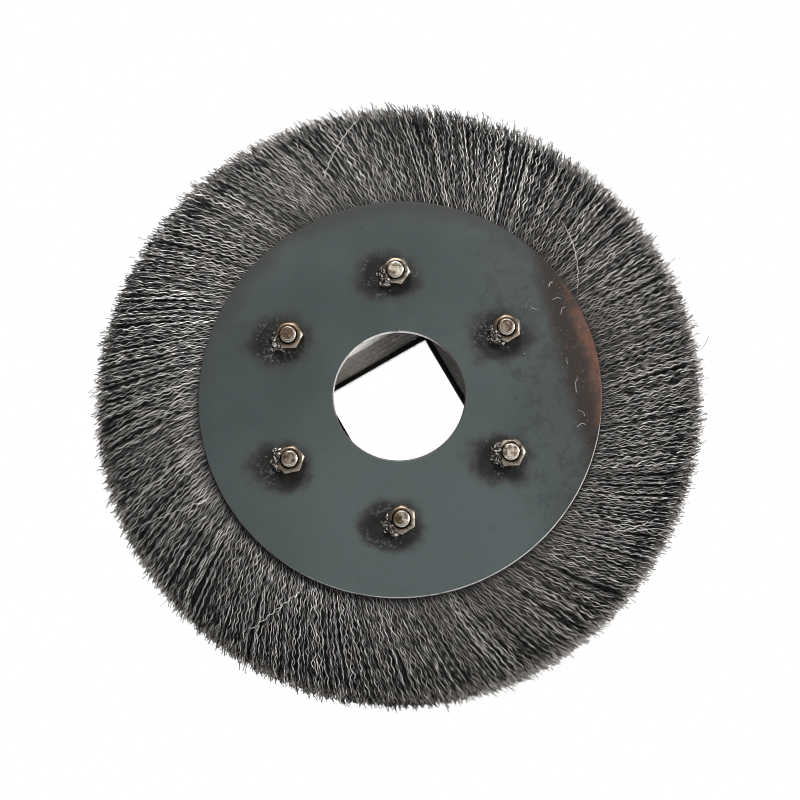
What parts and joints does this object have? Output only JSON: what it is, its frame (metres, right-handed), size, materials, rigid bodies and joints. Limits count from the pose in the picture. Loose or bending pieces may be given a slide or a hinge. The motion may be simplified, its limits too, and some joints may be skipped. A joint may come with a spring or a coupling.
{
  "type": "wire wheel brush",
  "caption": "Wide crimped-wire wheel brush: stacked steel wire sections clamped between two bolted side plates, with a square bore for a driven shaft.",
  "frame": {"origin": "on the wheel's axis, at the middle of the width of the clamped stack, where the axis of the square bore crosses it", "axes": "the wheel stands upright and turns about Y; the front plate, with the round hole and the nuts, faces -Y and the rear plate +Y; a tie bolt is straight up, towards +Z"},
  "size_m": [0.3, 0.073, 0.3],
  "materials": {
    "side_plate_steel": "hot-rolled mill scale, blue-grey, with scorch marks and some rust at the rim",
    "ground_core_steel": "cut and ground, light grey",
    "core_steel": "sawn edge, dull grey",
    "hoop_steel": "drawn",
    "crimped_wire": "drawn and crimped, dark grey, brownish at the cut tips",
    "bolt_steel": "worn, slightly rusty",
    "nut_steel": "worn, slightly rusty, heat-tinted",
    "weld_metal": "rough, sooty, with bright spots"
  },
  "bodies": {
    "root": {"front_plate": "side_plate_steel", "rear_plate": "side_plate_steel", "core_plate_1": "ground_core_steel", "core_plate_2": "core_steel", "core_plate_3": "core_steel", "core_plate_4": "core_steel", "core_plate_5": "core_steel", "retaining_hoop_1": "hoop_steel", "retaining_hoop_2": "hoop_steel", "retaining_hoop_3": "hoop_steel", "retaining_hoop_4": "hoop_steel", "retaining_hoop_5": "hoop_steel", "wire_ring_1": "crimped_wire", "wire_ring_2": "crimped_wire", "wire_ring_3": "crimped_wire", "wire_ring_4": "crimped_wire", "wire_ring_5": "crimped_wire", "tie_bolts": "bolt_steel", "front_nuts": "nut_steel", "tack_welds": "weld_metal"}
  },
  "joints": []
}
